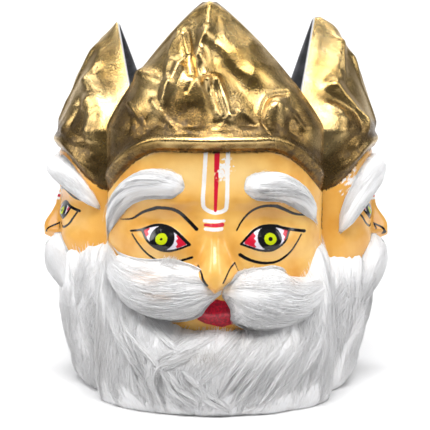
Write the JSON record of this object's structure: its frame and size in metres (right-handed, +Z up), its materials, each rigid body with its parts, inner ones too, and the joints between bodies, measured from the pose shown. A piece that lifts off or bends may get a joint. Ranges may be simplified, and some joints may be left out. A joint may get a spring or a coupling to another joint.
{
  "type": "brahma mask",
  "caption": "Helmet mask with three painted faces under gilded pointed crown leaves, open at the back and below, dressed with combed white wool beards, moustaches and brows.",
  "frame": {"origin": "centre of the box round the mask, on the surface that the ring of wool stands on", "axes": "+Z up through the crown, -Y is where the large front face looks, +X is to that face's left, the right of a viewer in front"},
  "size_m": [0.338, 0.2539, 0.3647],
  "materials": {
    "papier_mache": "papier-mache painted glossy yellow-orange with black, red and white lines, crown under crumpled gold foil, matt grey inside",
    "wool": "combed white wool, unspun, glued on in locks"
  },
  "bodies": {
    "root": {"front_mask": "papier_mache", "front_beard": "wool", "front_moustache_left": "wool", "front_moustache_right": "wool", "front_brow_left": "wool", "front_brow_right": "wool", "left_mask": "papier_mache", "left_face_beard": "wool", "left_face_moustache_rear": "wool", "left_face_moustache_front": "wool", "left_face_brow_rear": "wool", "left_face_brow_front": "wool", "right_mask": "papier_mache", "right_face_beard": "wool", "right_face_moustache_front": "wool", "right_face_moustache_rear": "wool", "right_face_brow_front": "wool", "right_face_brow_rear": "wool"}
  },
  "joints": []
}
